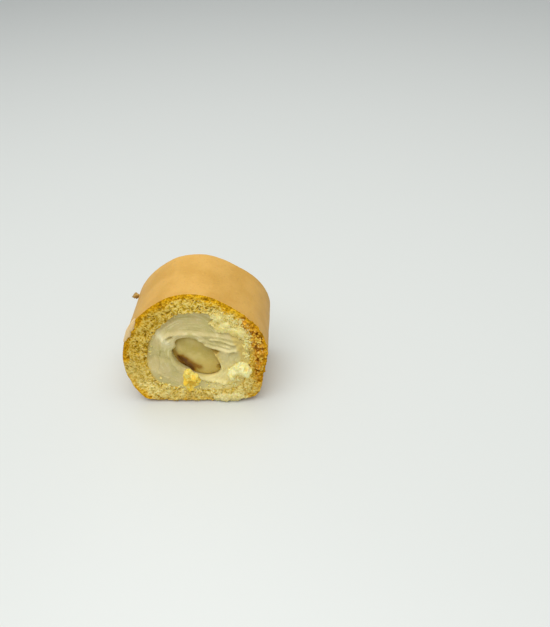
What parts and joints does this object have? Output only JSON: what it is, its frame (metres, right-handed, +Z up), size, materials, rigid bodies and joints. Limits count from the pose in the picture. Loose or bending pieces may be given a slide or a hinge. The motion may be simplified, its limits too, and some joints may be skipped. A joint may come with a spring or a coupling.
{
  "type": "swiss roll cake slice",
  "caption": "Thick slice of Swiss roll cake: one sheet of browned sponge rolled round cream and a whole banana, lying on its flattened foot.",
  "frame": {"origin": "on the surface the slice stands on, under the middle of its box", "axes": "+Z up, +Y along the roll from the shown cut face to the far one, +X to the right across the cut face"},
  "size_m": [0.0758, 0.0476, 0.066],
  "materials": {
    "sponge": "soft porous crumb with a smooth browned skin",
    "cream": "smooth knife-smeared cream, satin",
    "banana": "moist cut banana, satin",
    "flake": "torn flake of sponge",
    "lump": "crumb soaked in cream"
  },
  "bodies": {
    "root": {"sponge": "sponge", "cream": "cream", "banana": "banana", "sponge_flake": "flake", "crumb_lump": "lump"}
  },
  "joints": []
}
